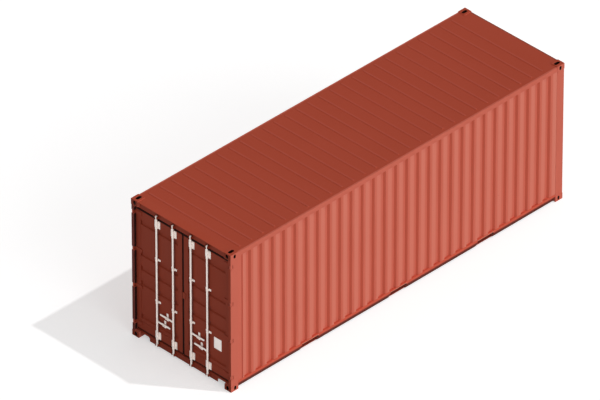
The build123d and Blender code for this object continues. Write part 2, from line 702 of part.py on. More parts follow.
def frame_nodes():
    """The pieces that stand still: the welded frame, walls, roof and floor."""
    casting = corner_casting()
    rear_right = rear_post()
    pins = hinge_pins()
    seals = post_seals()
    right_top = top_rail()
    right_bottom = bottom_rail()
    right_wall = side_wall()
    return {
        "bottom_corner_castings": both_sides([casting, to_front(casting)]),
        "top_corner_castings": both_sides([to_top(casting), to_top(to_front(casting))]),
        "rear_right_post": rear_right,
        "rear_left_post": to_left(rear_right),
        "front_posts": both_sides([front_post()]),
        "hinge_pins": both_sides(pins),
        "post_seals": both_sides(seals),
        "right_top_rail": right_top,
        "left_top_rail": to_left(right_top),
        "right_bottom_rail": right_bottom,
        "left_bottom_rail": to_left(right_bottom),
        "front_top_rail": front_rail(TOP_RAIL_BOTTOM, ROOF_UNDERSIDE),
        "front_bottom_rail": front_rail(RAIL_FOOT, FRONT_RAIL_TOP),
        "right_side_wall": right_wall,
        "left_side_wall": to_left(right_wall),
        "front_wall": front_wall(),
        "roof": roof(),
        "floor": floor(),
        "cross_members": cross_members(),
        "fork_pockets": fork_pockets(),
        "pocket_straps": both_sides(pocket_straps()),
        "door_header": door_header(),
        "door_sill": door_sill(),
        "cam_keepers": both_sides([*keepers(TOP_CAM_TOP), *keepers(BOTTOM_CAM_TOP)]),
    }


def door_nodes():
    """The two door leaves with what is fixed to them."""
    leaf = leaf_frame()
    panel = leaf_panel()
    blades = [hinge_blade(z) for z in HINGE_HEIGHTS]
    bearings = rod_bearings()
    catches = [
        handle_catch(-OUTER_ROD_Y, OUTER_HANDLE_HEIGHT, 1),
        handle_catch(-INNER_ROD_Y, INNER_HANDLE_HEIGHT, -1),
    ]
    return {
        "right_door_frame": leaf,
        "right_door_panel": panel,
        "right_door_gasket": leaf_gasket(GASKET_RIGHT_MEETING_LIP),
        "right_door_hinges": Compound(blades),
        "right_rod_bearings": Compound(bearings),
        "right_handle_catches": Compound(catches),
        "right_door_stop_plate": stop_plate(),
        "left_door_frame": to_left(leaf),
        "left_door_panel": to_left(panel),
        "left_door_gasket": to_left(leaf_gasket(GASKET_LEFT_MEETING_LIP)),
        "left_door_hinges": Compound([to_left(blade) for blade in blades]),
        "left_rod_bearings": Compound([to_left(bearing) for bearing in bearings]),
        "left_handle_catches": Compound([to_left(catch) for catch in catches]),
    }


def lock_nodes():
    """The four lock rods and their handles."""
    outer = (-OUTER_ROD_Y, OUTER_HANDLE_HEIGHT, 1)
    inner = (-INNER_ROD_Y, INNER_HANDLE_HEIGHT, -1)
    nodes = {}
    for name, place in (("outer", outer), ("inner", inner)):
        rod = lock_rod(*place)
        grip = handle(*place)
        nodes[f"right_{name}_rod"] = rod
        nodes[f"right_{name}_handle"] = grip
        nodes[f"left_{name}_rod"] = to_left(rod)
        nodes[f"left_{name}_handle"] = to_left(grip)
    return nodes


def main():
    """Build every node and write one STEP file for each."""
    os.makedirs("parts", exist_ok=True)
    for name, shape in {**frame_nodes(), **door_nodes(), **lock_nodes()}.items():
        export_step(shape, f"parts/{name}.step")


main()
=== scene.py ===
"""The looks of a steel shipping container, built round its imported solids."""

import json
import logging
import math
from dataclasses import dataclass, field, replace
from enum import Enum
from fnmatch import fnmatchcase
from typing import Callable, Iterable, Sequence

import bmesh
import bpy
from mathutils import Matrix, Vector

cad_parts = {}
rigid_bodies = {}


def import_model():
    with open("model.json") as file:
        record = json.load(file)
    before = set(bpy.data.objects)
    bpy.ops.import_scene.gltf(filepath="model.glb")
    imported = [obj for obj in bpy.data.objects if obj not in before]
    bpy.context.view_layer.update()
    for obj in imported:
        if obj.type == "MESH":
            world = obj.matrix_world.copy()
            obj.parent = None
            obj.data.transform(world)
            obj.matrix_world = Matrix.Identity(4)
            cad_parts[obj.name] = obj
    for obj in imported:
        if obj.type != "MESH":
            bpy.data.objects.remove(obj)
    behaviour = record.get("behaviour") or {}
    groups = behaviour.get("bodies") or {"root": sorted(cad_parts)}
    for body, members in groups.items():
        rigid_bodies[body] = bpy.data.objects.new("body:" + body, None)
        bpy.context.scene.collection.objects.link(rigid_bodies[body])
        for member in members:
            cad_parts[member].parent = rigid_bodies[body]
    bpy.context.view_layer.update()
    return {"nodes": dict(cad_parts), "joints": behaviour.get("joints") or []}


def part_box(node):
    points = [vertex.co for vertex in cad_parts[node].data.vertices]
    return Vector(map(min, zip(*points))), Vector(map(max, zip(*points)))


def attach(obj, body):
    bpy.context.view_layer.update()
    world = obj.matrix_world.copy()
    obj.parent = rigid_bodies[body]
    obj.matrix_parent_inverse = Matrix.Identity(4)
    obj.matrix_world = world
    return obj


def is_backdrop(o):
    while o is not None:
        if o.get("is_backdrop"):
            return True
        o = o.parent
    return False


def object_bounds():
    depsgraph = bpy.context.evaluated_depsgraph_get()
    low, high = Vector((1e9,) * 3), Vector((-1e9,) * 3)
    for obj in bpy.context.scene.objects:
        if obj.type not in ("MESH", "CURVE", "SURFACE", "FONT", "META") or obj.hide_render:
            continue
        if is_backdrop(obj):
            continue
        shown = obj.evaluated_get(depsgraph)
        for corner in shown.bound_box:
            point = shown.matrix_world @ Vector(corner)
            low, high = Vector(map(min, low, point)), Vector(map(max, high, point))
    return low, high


LOG = logging.getLogger("container")
Colour = tuple[float, float, float]
Point = tuple[float, float, float]
Span = tuple[float, float]

# Tones that more than one finish uses, or that a finish takes in one place only.
# Dark undercoat for the underbody, which also serves as painted shade on the bottom rails' feet.
UNDERCOAT_AND_SHADE_TONE: Colour = (0.13, 0.026, 0.018)
SHADE: Colour = (0.010, 0.004, 0.003)
# Darker copies of the red: painted shade for the roof and the tops of other parts.
SHADED_TOP_TONE: Colour = (0.418, 0.064, 0.031)
SHADED_ROOF_FADED: Colour = (0.446, 0.078, 0.045)
# Darker copies of the red: painted shade for the door end, which the lamps also leave in shade.
SHADED_DOOR_TONE: Colour = (0.300, 0.0455, 0.0215)
SHADED_DOOR_FRESH: Colour = (0.292, 0.0435, 0.0195)
SHADED_DOOR_FADED: Colour = (0.324, 0.0545, 0.030)
FRAME_TONE: Colour = (0.540, 0.119, 0.077)
FRAME_FADED: Colour = (0.591, 0.147, 0.100)
# Painted shade for the slopes of the side walls' waves.
SLOPE_SHADE_TONE: Colour = (0.537, 0.107, 0.064)
# Painted highlight on the side walls' slopes that face the closed end.
HIGHLIGHT_TONE: Colour = (0.616, 0.180, 0.126)
# Painted shade along the far top edge.
EDGE_SHADE_TONE: Colour = (0.27, 0.055, 0.034)
# Painted shade on the castings' rear end faces.
CASTING_END_SHADE_TONE: Colour = (0.245, 0.035, 0.015)
# Painted shade on the left post's rear face, darker than the right one's.
LEFT_POST_SHADE_TONE: Colour = (0.160, 0.033, 0.025)
# Painted shadow of the lock rods on the doors.
ROD_SHADOW_TONE: Colour = (0.200, 0.031, 0.016)
WHITE = (1.0, 1.0, 1.0, 1.0)

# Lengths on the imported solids, in metres.
SHEET = 0.002
SKIN = 0.003
TOUCH = 1e-4
# Below this height the bottom rails are painted in shade.
RAIL_SHADE_HEIGHT = 0.100
POCKET_MOUTH_TOP = 0.139
SEAM_FROM_END = 0.286

# Edges flatter than this many degrees are shaded smooth.
SMOOTH_ANGLE = 35.0


class Facing(Enum):
    """A direction in which a face can be picked for modelling."""

    REAR = (-1.0, 0.0, 0.0)
    UP = (0.0, 0.0, 1.0)
    DOWN = (0.0, 0.0, -1.0)


class Slot(Enum):
    """The record's material slots that are given to the new pieces."""

    PAINT = "red_paint"
    ZINC = "galvanised_steel"


class Graph:
    """A short way to write a material's nodes.

    Args:
        name: the material's name.

    Attributes:
        material: the material.
        tree: its node tree.
        shader: its main shader.
        place: the object's coordinates.
    """

    def __init__(self, name: str) -> None:
        """Start a material that has only its main shader."""
        self.material = bpy.data.materials.new(name)
        self.material.use_nodes = True
        self.tree = self.material.node_tree
        self.shader = self.tree.nodes["Principled BSDF"]
        self.place = self.tree.nodes.new("ShaderNodeTexCoord").outputs["Object"]

    def node(self, kind: str, **inputs: object) -> bpy.types.Node:
        """Add a node and fill its inputs.

        Args:
            kind: the node's type.
            inputs: values or sockets by input name, with _ for a space.

        Returns:
            The new node.
        """
        made = self.tree.nodes.new(kind)
        for key, value in inputs.items():
            self.feed(made.inputs[key.replace("_", " ")], value)
        return made

    def feed(self, socket: bpy.types.NodeSocket, value: object) -> None:
        """Link a socket to an input, or set the input's value.

        Args:
            socket: the input.
            value: a socket, a number or a colour.
        """
        if isinstance(value, bpy.types.NodeSocket):
            self.tree.links.new(value, socket)
        else:
            socket.default_value = value

    def noise(self, size: float, scale: Point, detail: float) -> bpy.types.NodeSocket:
        """A noise pattern on the object's coordinates.

        Args:
            size: how many blotches there are in a metre.
            scale: a stretch for each axis.
            detail: how much fine detail it has.

        Returns:
            The pattern's value.
        """
        stretched = self.node("ShaderNodeMapping", Vector=self.place, Scale=scale).outputs["Vector"]
        made = self.node("ShaderNodeTexNoise", Vector=stretched, Scale=size, Detail=detail)
        return made.outputs["Fac"]

    def ramp(self, value: bpy.types.NodeSocket, low: float, high: float) -> bpy.types.NodeSocket:
        """A smooth step from 0 at low to 1 at high.

        Args:
            value: what is measured.
            low: where the step starts.
            high: where it ends.

        Returns:
            The step's value.
        """
        made = self.node("ShaderNodeMapRange", Value=value, From_Min=low, From_Max=high)
        made.interpolation_type = "SMOOTHSTEP"
        return made.outputs["Result"]

    def axis(self, letter: str) -> bpy.types.NodeSocket:
        """One of the object's coordinates, in metres."""
        return self.node("ShaderNodeSeparateXYZ", Vector=self.place).outputs[letter]

    def math(self, operation: str, first: object, second: object = 0.0) -> bpy.types.NodeSocket:
        """Work out one value from two.

        Args:
            operation: the node's operation.
            first: the first value.
            second: the second value.

        Returns:
            The result.
        """
        made = self.tree.nodes.new("ShaderNodeMath")
        made.operation = operation
        self.feed(made.inputs[0], first)
        self.feed(made.inputs[1], second)
        return made.outputs[0]

    def weigh(self, *parts: tuple[bpy.types.NodeSocket, float], base: float = 0.0) -> object:
        """Add up patterns, each times its weight.

        Args:
            parts: pairs of a pattern and its weight.
            base: what the sum starts from.

        Returns:
            The sum's value.
        """
        total: object = base
        for pattern, weight in parts:
            total = self.math("ADD", self.math("MULTIPLY", pattern, weight), total)
        return total

    def blend(self, share: object, first: object, second: object) -> bpy.types.NodeSocket:
        """Mix two colours.

        Args:
            share: how much of the second colour shows.
            first: the first colour.
            second: the second colour.

        Returns:
            The mixed colour.
        """
        made = self.tree.nodes.new("ShaderNodeMix")
        made.data_type = "RGBA"
        self.feed(made.inputs["Factor"], share)
        for key, colour in (("A", first), ("B", second)):
            self.feed(made.inputs[key], (*colour, 1.0) if isinstance(colour, tuple) else colour)
        return made.outputs["Result"]

    def bump(self, height: object, strength: float, distance: float) -> None:
        """Roughen the surface with a pattern, to a strength and a height in metres."""
        made = self.node("ShaderNodeBump", Height=height, Strength=strength, Distance=distance)
        self.feed(self.shader.inputs["Normal"], made.outputs["Normal"])

    def close(self, colour: object, roughness: object, metallic: float = 0.0) -> bpy.types.Material:
        """Join the colour and roughness to the shader.

        Args:
            colour: the base colour's socket.
            roughness: a value or socket.
            metallic: how metallic it is.

        Returns:
            The finished material.
        """
        self.feed(self.shader.inputs["Base Color"], colour)
        self.feed(self.shader.inputs["Roughness"], roughness)
        self.shader.inputs["Metallic"].default_value = metallic
        return self.material

    def gloss(self, level: float) -> None:
        """Set how strongly the surface mirrors light."""
        self.shader.inputs["Specular IOR Level"].default_value = level


@dataclass(frozen=True)
class Pattern:
    """A noise pattern, which shows where the noise is past a level.

    Attributes:
        size: how many blotches there are in a metre.
        low: the level at which it starts to show.
        high: the level at which it is complete.
        share: how strongly it shows there.
        scale: a stretch for each axis.
        detail: how much fine detail it has.
    """

    size: float
    low: float = 0.0
    high: float = 1.0
    share: float = 1.0
    scale: Point = (1.0, 1.0, 1.0)
    detail: float = 4.0

    def noise(self, graph: Graph) -> bpy.types.NodeSocket:
        """The noise itself, for bumps."""
        return graph.noise(self.size, self.scale, self.detail)

    def mask(self, graph: Graph) -> bpy.types.NodeSocket:
        """A mask that is 1 where the pattern is complete."""
        return graph.ramp(self.noise(graph), self.low, self.high)


@dataclass(frozen=True)
class Band:
    """A stretch along one axis past which a paint has another colour.

    Attributes:
        axis: X, Y or Z. Y is measured either way from the middle.
        start: where the change starts, in metres.
        end: where it is complete.
        colour: the colour past the end.
        until: where the first colour starts to come back and where it is back, if it does.
    """

    axis: str
    start: float
    end: float
    colour: Colour
    until: Span | None = None

    @classmethod
    def face(
        cls, axis: str, place: float, inward: int, colour: Colour, depths: Span = (0.0015, 0.0005)
    ) -> "Band":
        """Another colour on one outer face of a piece.

        Args:
            axis: the axis that the face looks along.
            place: where the face is.
            inward: 1 where the piece lies past its face on that axis, -1 where it lies before it.
            colour: the face's colour.
            depths: how deep the change starts and how deep it is complete, in metres.

        Returns:
            The band.
        """
        start, end = (place + inward * depth for depth in depths)
        return cls(axis, start, end, colour)

    def mask(self, graph: Graph) -> bpy.types.NodeSocket:
        """A mask that is 1 where the band's colour shows.

        Args:
            graph: the material's nodes.

        Returns:
            The mask's value.
        """
        place = graph.axis(self.axis)
        if self.axis == "Y":
            place = graph.math("ABSOLUTE", place)
        shown = graph.ramp(place, self.start, self.end)
        if self.until:
            fading, gone = self.until
            shown = graph.math("MULTIPLY", shown, graph.ramp(place, gone, fading))
        return shown


@dataclass(frozen=True)
class Ripple:
    """Painted highlight: lighter stripes that come back once in every wave of a corrugated sheet,
    centred on the slopes that face the closed end.

    Attributes:
        origin: the X of the middle of one stripe, in metres.
        pitch: from one stripe to the next.
        colour: the stripe's colour.
        core: half the width that takes the full colour.
        edge: half the width at which the stripe ends.
        share: how strongly the colour shows.
    """

    origin: float
    pitch: float
    colour: Colour
    core: float = 0.046
    edge: float = 0.088
    share: float = 0.9

    def mask(self, graph: Graph) -> bpy.types.NodeSocket:
        """A mask that is strongest in the middle of each stripe.

        Args:
            graph: the material's nodes.

        Returns:
            The mask's value.
        """
        along = graph.math("SUBTRACT", graph.axis("X"), self.origin)
        turns = graph.math("DIVIDE", along, self.pitch)
        offset = graph.math("ABSOLUTE", graph.math("SUBTRACT", turns, graph.math("ROUND", turns)))
        stripe = graph.ramp(offset, self.edge / self.pitch, self.core / self.pitch)
        return graph.math("MULTIPLY", stripe, self.share)


@dataclass(frozen=True)
class Paint:
    """Weathered red paint on steel, with rubbed patches, streaks and a little rust.

    Attributes:
        name: the material's name.
        fresh: the colour where the paint is sound.
        faded: the colour where sun and rubbing have thinned it.
        rust: the colour of the few rust specks.
        ripple: painted highlight stripes that follow the waves of a sheet, if it has any.
        bands: places where the paint takes another colour.
        cavity: for each axis, the middle and how far from it the painted shade of a hollow starts and
            ends.
        gloss: how strongly it mirrors light.
        roughness: how rough the sound paint is.
        cloud: the large rubbed patches.
        streak: the upright streaks.
        specks: the rust specks.
        dents: the shallow dents.
        grit: the grain of the paint.
    """

    name: str
    fresh: Colour
    faded: Colour
    rust: Colour = (0.10, 0.035, 0.02)
    ripple: Ripple | None = None
    bands: tuple[Band, ...] = ()
    cavity: tuple[Point, ...] = ()
    gloss: float = 0.07
    roughness: float = 0.46
    cloud: Pattern = Pattern(0.8, 0.35, 0.7, 0.35, detail=5.0)
    streak: Pattern = Pattern(14.0, 0.5, 0.75, 0.15, (1.0, 1.0, 0.05), 3.0)
    specks: Pattern = Pattern(26.0, 0.74, 0.79, 0.7, detail=8.0)
    dents: Pattern = Pattern(3.0, scale=(1.0, 1.0, 0.4), detail=2.0)
    grit: Pattern = Pattern(240.0, share=0.05, detail=2.0)

    def material(self) -> bpy.types.Material:
        """Make the paint's nodes.

        Returns:
            The material.
        """
        graph = Graph(self.name)
        cloud, streak = self.cloud.mask(graph), self.streak.mask(graph)
        worn = graph.weigh((cloud, self.cloud.share), (streak, self.streak.share))
        colour = graph.blend(worn, self.fresh, self.faded)
        if self.ripple:
            colour = graph.blend(self.ripple.mask(graph), colour, self.ripple.colour)
        for band in self.bands:
            colour = graph.blend(band.mask(graph), colour, band.colour)
        # Painted shade: the hollows inside the castings are nearly black.
        if self.cavity:
            colour = graph.blend(self.hollow(graph), colour, SHADE)
        specks = self.specks.mask(graph)
        colour = graph.blend(graph.weigh((specks, self.specks.share)), colour, self.rust)
        grit, dents = self.grit.noise(graph), self.dents.noise(graph)
        relief = graph.weigh((dents, self.dents.share), (grit, self.grit.share))
        graph.bump(relief, strength=0.25, distance=0.004)
        graph.gloss(self.gloss)
        return graph.close(colour, graph.weigh((specks, 1.0), (cloud, 0.12), base=self.roughness))

    def hollow(self, graph: Graph) -> object:
        """A mask for the painted shade: 1 inside the cavity and 0 on the faces round it.

        Args:
            graph: the material's nodes.

        Returns:
            The mask's value.
        """
        inside: object = 1.0
        for letter, (middle, near, far) in zip("XYZ", self.cavity):
            offset = graph.math("ABSOLUTE", graph.math("SUBTRACT", graph.axis(letter), middle))
            for face, way in ((near, 1), (far, -1)):
                past = graph.ramp(offset, face + way * SKIN / 3, face + way * SKIN)
                inside = graph.math("MULTIPLY", past, inside)
        return inside


@dataclass(frozen=True)
class Zinc:
    """Galvanised steel: a pale metal with a faint spangle and dull handling marks.

    Attributes:
        name: the material's name.
        light: the colour of the bright grains.
        dull: the colour of the dull ones.
        metallic: how metallic it is.
        roughness: how rough it is where nobody has handled it.
        grains: how many spangle grains there are in a metre.
        spangle: how strongly they differ.
        marks: the handling marks.
        grit: the fine roughness.
    """

    name: str
    light: Colour
    dull: Colour
    metallic: float = 0.15
    roughness: float = 0.42
    grains: float = 90.0
    spangle: float = 0.3
    marks: Pattern = Pattern(7.0, 0.45, 0.75, 0.35, detail=6.0)
    grit: Pattern = Pattern(180.0, detail=3.0)

    def material(self) -> bpy.types.Material:
        """Make the metal's nodes.

        Returns:
            The material.
        """
        graph = Graph(self.name)
        cells = graph.node("ShaderNodeTexVoronoi", Vector=graph.place, Scale=self.grains)
        grain = graph.node("ShaderNodeSeparateColor", Color=cells.outputs["Color"]).outputs["Red"]
        marks = self.marks.mask(graph)
        dulled = graph.weigh((grain, self.spangle), (marks, self.marks.share))
        colour = graph.blend(dulled, self.light, self.dull)
        graph.bump(self.grit.noise(graph), strength=0.15, distance=0.001)
        return graph.close(colour, graph.weigh((marks, 0.15), base=self.roughness), self.metallic)


@dataclass(frozen=True)
class Rubber:
    """Black door seal rubber, greyed a little by weather.

    Attributes:
        name: the material's name.
        black: the main colour.
        grey: the colour of the bloom on it.
        gloss: how strongly it mirrors light.
        roughness: how rough it is where it has no bloom.
        bloom: where it has greyed.
        grit: the fine roughness.
    """

    name: str
    black: Colour
    grey: Colour
    gloss: float = 0.05
    roughness: float = 0.72
    bloom: Pattern = Pattern(9.0, 0.4, 0.8, 0.5, detail=5.0)
    grit: Pattern = Pattern(320.0, detail=2.0)

    def material(self) -> bpy.types.Material:
        """Make the rubber's nodes.

        Returns:
            The material.
        """
        graph = Graph(self.name)
        bloom = self.bloom.mask(graph)
        colour = graph.blend(graph.weigh((bloom, self.bloom.share)), self.black, self.grey)
        graph.bump(self.grit.noise(graph), strength=0.3, distance=0.0008)
        graph.gloss(self.gloss)
        return graph.close(colour, graph.weigh((bloom, 0.1), base=self.roughness))


@dataclass(frozen=True)
class Plywood:
    """Worn plywood decking with long grain and the joints between sheets.

    Attributes:
        name: the material's name.
        pale: the colour between the grain lines.
        dark: the colour of the grain and the scuffs.
        gap: the colour of the joints.
        sheet: the length of one sheet along X, in metres.
        joint: how far from its middle a joint fades out and is dark, as shares of a sheet.
        roughness: how rough it is where it has no scuffs.
        grain: the long grain.
        scuffs: the scuffed places.
    """

    name: str
    pale: Colour
    dark: Colour
    gap: Colour = (0.03, 0.02, 0.012)
    sheet: float = 1.16
    joint: Span = (0.006, 0.002)
    roughness: float = 0.6
    grain: Pattern = Pattern(9.0, 0.3, 0.7, 1.0, (0.25, 6.0, 6.0), 8.0)
    scuffs: Pattern = Pattern(2.5, 0.5, 0.75, 0.5, (1.0, 0.3, 1.0), 6.0)

    def material(self) -> bpy.types.Material:
        """Make the wood's nodes.

        Returns:
            The material.
        """
        graph = Graph(self.name)
        grain, scuffs = self.grain.noise(graph), self.scuffs.mask(graph)
        lines = graph.ramp(grain, self.grain.low, self.grain.high)
        colour = graph.blend(lines, self.pale, self.dark)
        colour = graph.blend(graph.weigh((scuffs, self.scuffs.share)), colour, self.dark)
        along = graph.math("FRACT", graph.math("DIVIDE", graph.axis("X"), self.sheet))
        joint = graph.ramp(graph.math("ABSOLUTE", graph.math("SUBTRACT", along, 0.5)), *self.joint)
        colour = graph.blend(joint, colour, self.gap)
        graph.bump(grain, strength=0.25, distance=0.002)
        return graph.close(colour, graph.weigh((scuffs, 0.15), base=self.roughness))


Finish = Paint | Zinc | Rubber | Plywood


def spans(thing: bpy.types.Object, axis: int) -> list[Span]:
    """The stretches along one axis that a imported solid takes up.

    Args:
        thing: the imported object.
        axis: 0, 1 or 2.

    Returns:
        The low and high end of each stretch, in order.
    """
    places = [vertex.co[axis] for vertex in thing.data.vertices]
    faces = [[places[index] for index in face.vertices] for face in thing.data.polygons]
    found: list[Span] = []
    for low, high in sorted((min(face), max(face)) for face in faces):
        if found and low <= found[-1][1] + TOUCH:
            found[-1] = (found[-1][0], max(found[-1][1], high))
        else:
            found.append((low, high))
    return found


def corners(thing: bpy.types.Object, face: float) -> list[float]:
    """The X of each corner that a packed sheet has on the upright face at one Y, in order."""
    on_face = (vertex.co for vertex in thing.data.vertices if abs(vertex.co.y - face) < TOUCH)
    return sorted({round(place.x, 4) for place in on_face})


def joint_axis(joints: Iterable[dict], body: str) -> Span:
    """The X and Y of the upright axis that a body turns about, in metres."""
    joint = next(each for each in joints if each["child"] == body)
    return joint["pos_m"][0], joint["pos_m"][1]


@dataclass(frozen=True)
class Measures:
    """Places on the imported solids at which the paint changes, in metres.

    Attributes:
        rear: the X of the door end.
        front: the X of the closed end.
        half_width: from the middle to a long side.
        height: the whole height.
        casting: the size of a corner casting.
        post_face: the X of the rear posts' faces.
        ridge: from the middle to the outer face of a side wall's ridges.
        valley: from the middle to the outer face of its valleys.
        sunny_slope: the X of the middle of the first slope that faces the closed end.
        wave: from one wave of the wall to the next.
        roof: the height of the roof's flats and of its ribs.
        hood: the height of the hood plate's top.
        rods: from the middle to each lock rod.
    """

    rear: float
    front: float
    half_width: float
    height: float
    casting: Point
    post_face: float
    ridge: float
    valley: float
    sunny_slope: float
    wave: float
    roof: Span
    hood: float
    rods: tuple[float, ...]

    @classmethod
    def read(cls, nodes: dict[str, bpy.types.Object], joints: Iterable[dict]) -> "Measures":
        """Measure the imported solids.

        Args:
            nodes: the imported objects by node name.
            joints: the record's joints.

        Returns:
            The measures.
        """
        low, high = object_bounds()
        first_casting = [spans(nodes["bottom_corner_castings"], axis)[0] for axis in range(3)]
        wall_low, wall_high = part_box("left_side_wall")
        valley = wall_low.y + SHEET
        on_ridge, on_valley = (corners(nodes["left_side_wall"], y) for y in (wall_high.y, valley))
        roof_low, roof_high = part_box("roof")
        locks = [joint for joint in joints if joint["child"].endswith("_lock")]
        return cls(
            rear=low.x,
            front=high.x,
            half_width=high.y,
            height=high.z,
            casting=tuple(end - start for start, end in first_casting),
            post_face=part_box("rear_right_post")[0].x,
            ridge=wall_high.y,
            valley=valley,
            sunny_slope=(on_ridge[1] + on_valley[0]) / 2,
            wave=on_valley[2] - on_valley[0],
            roof=(roof_low.z + SHEET, roof_high.z),
            hood=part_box("door_header")[1].z,
            rods=tuple(sorted({round(abs(lock["pos_m"][1]), 4) for lock in locks})),
        )

    def cavity(self) -> tuple[Point, ...]:
        """The hollow of the castings, which is painted in shade, as a middle and two distances for each
        axis.

        Returns:
            Three rows, for X, Y and Z.
        """
        middles = (0.0, 0.0, self.height / 2)
        reaches = (self.front, self.half_width, self.height / 2)
        rows = zip(middles, reaches, self.casting)
        return tuple((middle, reach - deep, reach) for middle, reach, deep in rows)


class Finishes:
    """Every finish that the part uses.

    Args:
        sizes: where the paints change.
    """

    def __init__(self, sizes: Measures) -> None:
        """Set up the paints, which change at the measured places, and the other finishes."""
        # Painted shade on the slopes between the ridges and the valleys of the side walls.
        shaded_slopes = Band(
            "Y", sizes.ridge - 0.004, sizes.ridge - 0.008, SLOPE_SHADE_TONE,
            until=(sizes.valley + 0.0035, sizes.valley + 0.0005),
        )
        # The side walls get painted highlight stripes on their sunlit slopes and painted shade on the
        # others.
        self.side = Paint(
            "side_paint", (0.552, 0.118, 0.075), (0.610, 0.155, 0.107),
            ripple=Ripple(sizes.sunny_slope, sizes.wave, HIGHLIGHT_TONE), bands=(shaded_slopes,),
        )
        rusty = replace(Paint.specks, low=0.72, high=0.77)
        self.frame = Paint("frame_paint", FRAME_TONE, FRAME_FADED, specks=rusty)
        # Painted shade along the outer edge of the top rail at the closed end.
        shaded_far_edge = Band("X", sizes.front - 0.050, sizes.front - 0.020, EDGE_SHADE_TONE)
        self.far_rail = Paint("far_rail_paint", FRAME_TONE, FRAME_FADED, bands=(shaded_far_edge,))
        # Painted shade: the posts' rear faces take the door end's darker red, their side faces the
        # frame's red.
        shaded_end_face = Band.face("X", sizes.post_face, 1, SHADED_DOOR_TONE)
        self.post = Paint("post_paint", FRAME_TONE, FRAME_FADED, bands=(shaded_end_face,))
        # Painted shade: the left post's rear face is darker still.
        left_post_shaded_face = replace(shaded_end_face, colour=LEFT_POST_SHADE_TONE)
        self.shaded_left_post = replace(self.post, name="dull_post_paint", bands=(left_post_shaded_face,))
        # Painted shade: the bottom rails turn dark below this height, towards their shaded foot.
        shaded_rail_foot = Band("Z", RAIL_SHADE_HEIGHT + 0.034, RAIL_SHADE_HEIGHT, UNDERCOAT_AND_SHADE_TONE)
        self.rail = Paint(
            "rail_paint", (0.555, 0.090, 0.050), (0.605, 0.114, 0.068), bands=(shaded_rail_foot,)
        )
        # Painted shade on the castings: their tops take the tops' darker red, their rear end faces a
        # darker red still, their hollows near black.
        self.casting = Paint(
            "casting_paint", FRAME_TONE, FRAME_FADED, cavity=sizes.cavity(),
            bands=(
                Band.face("Z", sizes.height, -1, SHADED_TOP_TONE),
                Band.face("X", sizes.rear, 1, CASTING_END_SHADE_TONE, (0.0010, 0.0002)),
            ),
        )
        # The hinges take the door end's painted shade, but their knuckle faces beside the long side
        # take the frame's red: lit and shaded copies of one paint.
        side_lit_knuckle = Band("Y", sizes.half_width - 0.040, sizes.half_width - 0.034, FRAME_TONE)
        self.hinge = Paint("hinge_paint", SHADED_DOOR_TONE, (0.335, 0.053, 0.026), bands=(side_lit_knuckle,))
        self.underbody = Paint("underbody_coat", UNDERCOAT_AND_SHADE_TONE, (0.16, 0.040, 0.028))
        self.pocket = Paint("pocket_paint", (0.42, 0.080, 0.050), (0.46, 0.100, 0.066))
        # The roof's red is darker than the sides': painted shade. The tops of its ribs are lighter than
        # the flats between them.
        flat, rib = sizes.roof
        ribs = Band("Z", flat + 0.0005, (flat + rib) / 2, SHADED_ROOF_FADED)
        self.roof = Paint("roof_paint", (0.408, 0.060, 0.0285), SHADED_ROOF_FADED, bands=(ribs,))
        # The header's front takes the door end's painted shade; the top of its hood takes the tops'
        # red, lighter than that: lit and shaded copies of one paint.
        hood = Band.face("Z", sizes.hood, -1, SHADED_TOP_TONE, (0.0018, 0.0004))
        self.header = Paint("header_paint", SHADED_DOOR_FRESH, SHADED_DOOR_FADED, bands=(hood,))
        # Painted shadow: the door sheet is darker in a strip behind and beside each lock rod.
        rod_shadows = tuple(
            Band("Y", rod - 0.040, rod - 0.020, ROD_SHADOW_TONE, until=(rod + 0.020, rod + 0.040))
            for rod in sizes.rods
        )
        # The doors take the door end's darker red: painted shade.
        self.door = Paint("door_paint", SHADED_DOOR_FRESH, SHADED_DOOR_FADED, bands=rod_shadows)
        # Painted shade: the lap seams are a darker red than the wall, for the shadow line beside the
        # rear posts.
        self.seam = Paint("seam_shade_paint", (0.44, 0.067, 0.039), (0.46, 0.075, 0.046))
        # A paler red for the lips over the fork pockets.
        self.rim = Paint("pale_lip_paint", (0.60, 0.19, 0.13), (0.70, 0.30, 0.22))
        self.zinc = Zinc("galvanised", (0.88, 0.79, 0.735), (0.76, 0.675, 0.625))
        self.plate = Zinc("plate_enamel", (0.90, 0.82, 0.77), (0.82, 0.74, 0.69), 0.0)
        self.steel = Zinc("bare_steel", (0.50, 0.48, 0.46), (0.30, 0.28, 0.27), 0.8)
        self.rubber = Rubber("seal_rubber", (0.022, 0.006, 0.005), (0.04, 0.018, 0.015))
        self.decking = Plywood("plywood", (0.36, 0.21, 0.11), (0.20, 0.11, 0.055))

    def rules(self) -> tuple[tuple[str, Finish], ...]:
        """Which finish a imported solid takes. The first pattern that fits its name counts.

        Returns:
            Pairs of a name pattern and a finish.
        """
        return (
            ("*gasket", self.rubber),
            # The black seal strips stand partly for real gaskets and partly for painted shade in the
            # groove between post and door.
            ("*seals", self.rubber),
            ("*_rod", self.zinc),
            ("*_handle", self.zinc),
            ("*bearings", self.zinc),
            ("*catches", self.zinc),
            ("*pins", self.steel),
            ("floor", self.decking),
            ("cross_members", self.underbody),
            ("fork_pocket*", self.pocket),
            ("pocket_*", self.pocket),
            ("front_top_rail", self.far_rail),
            ("*bottom_rail", self.rail),
            ("*castings", self.casting),
            ("roof", self.roof),
            ("door_header", self.header),
            ("rear_left_post", self.shaded_left_post),
            ("rear_*", self.post),
            ("*hinges", self.hinge),
            ("*door*", self.door),
            ("cam_keepers", self.door),
            ("*side_wall", self.side),
            ("*", self.frame),
        )


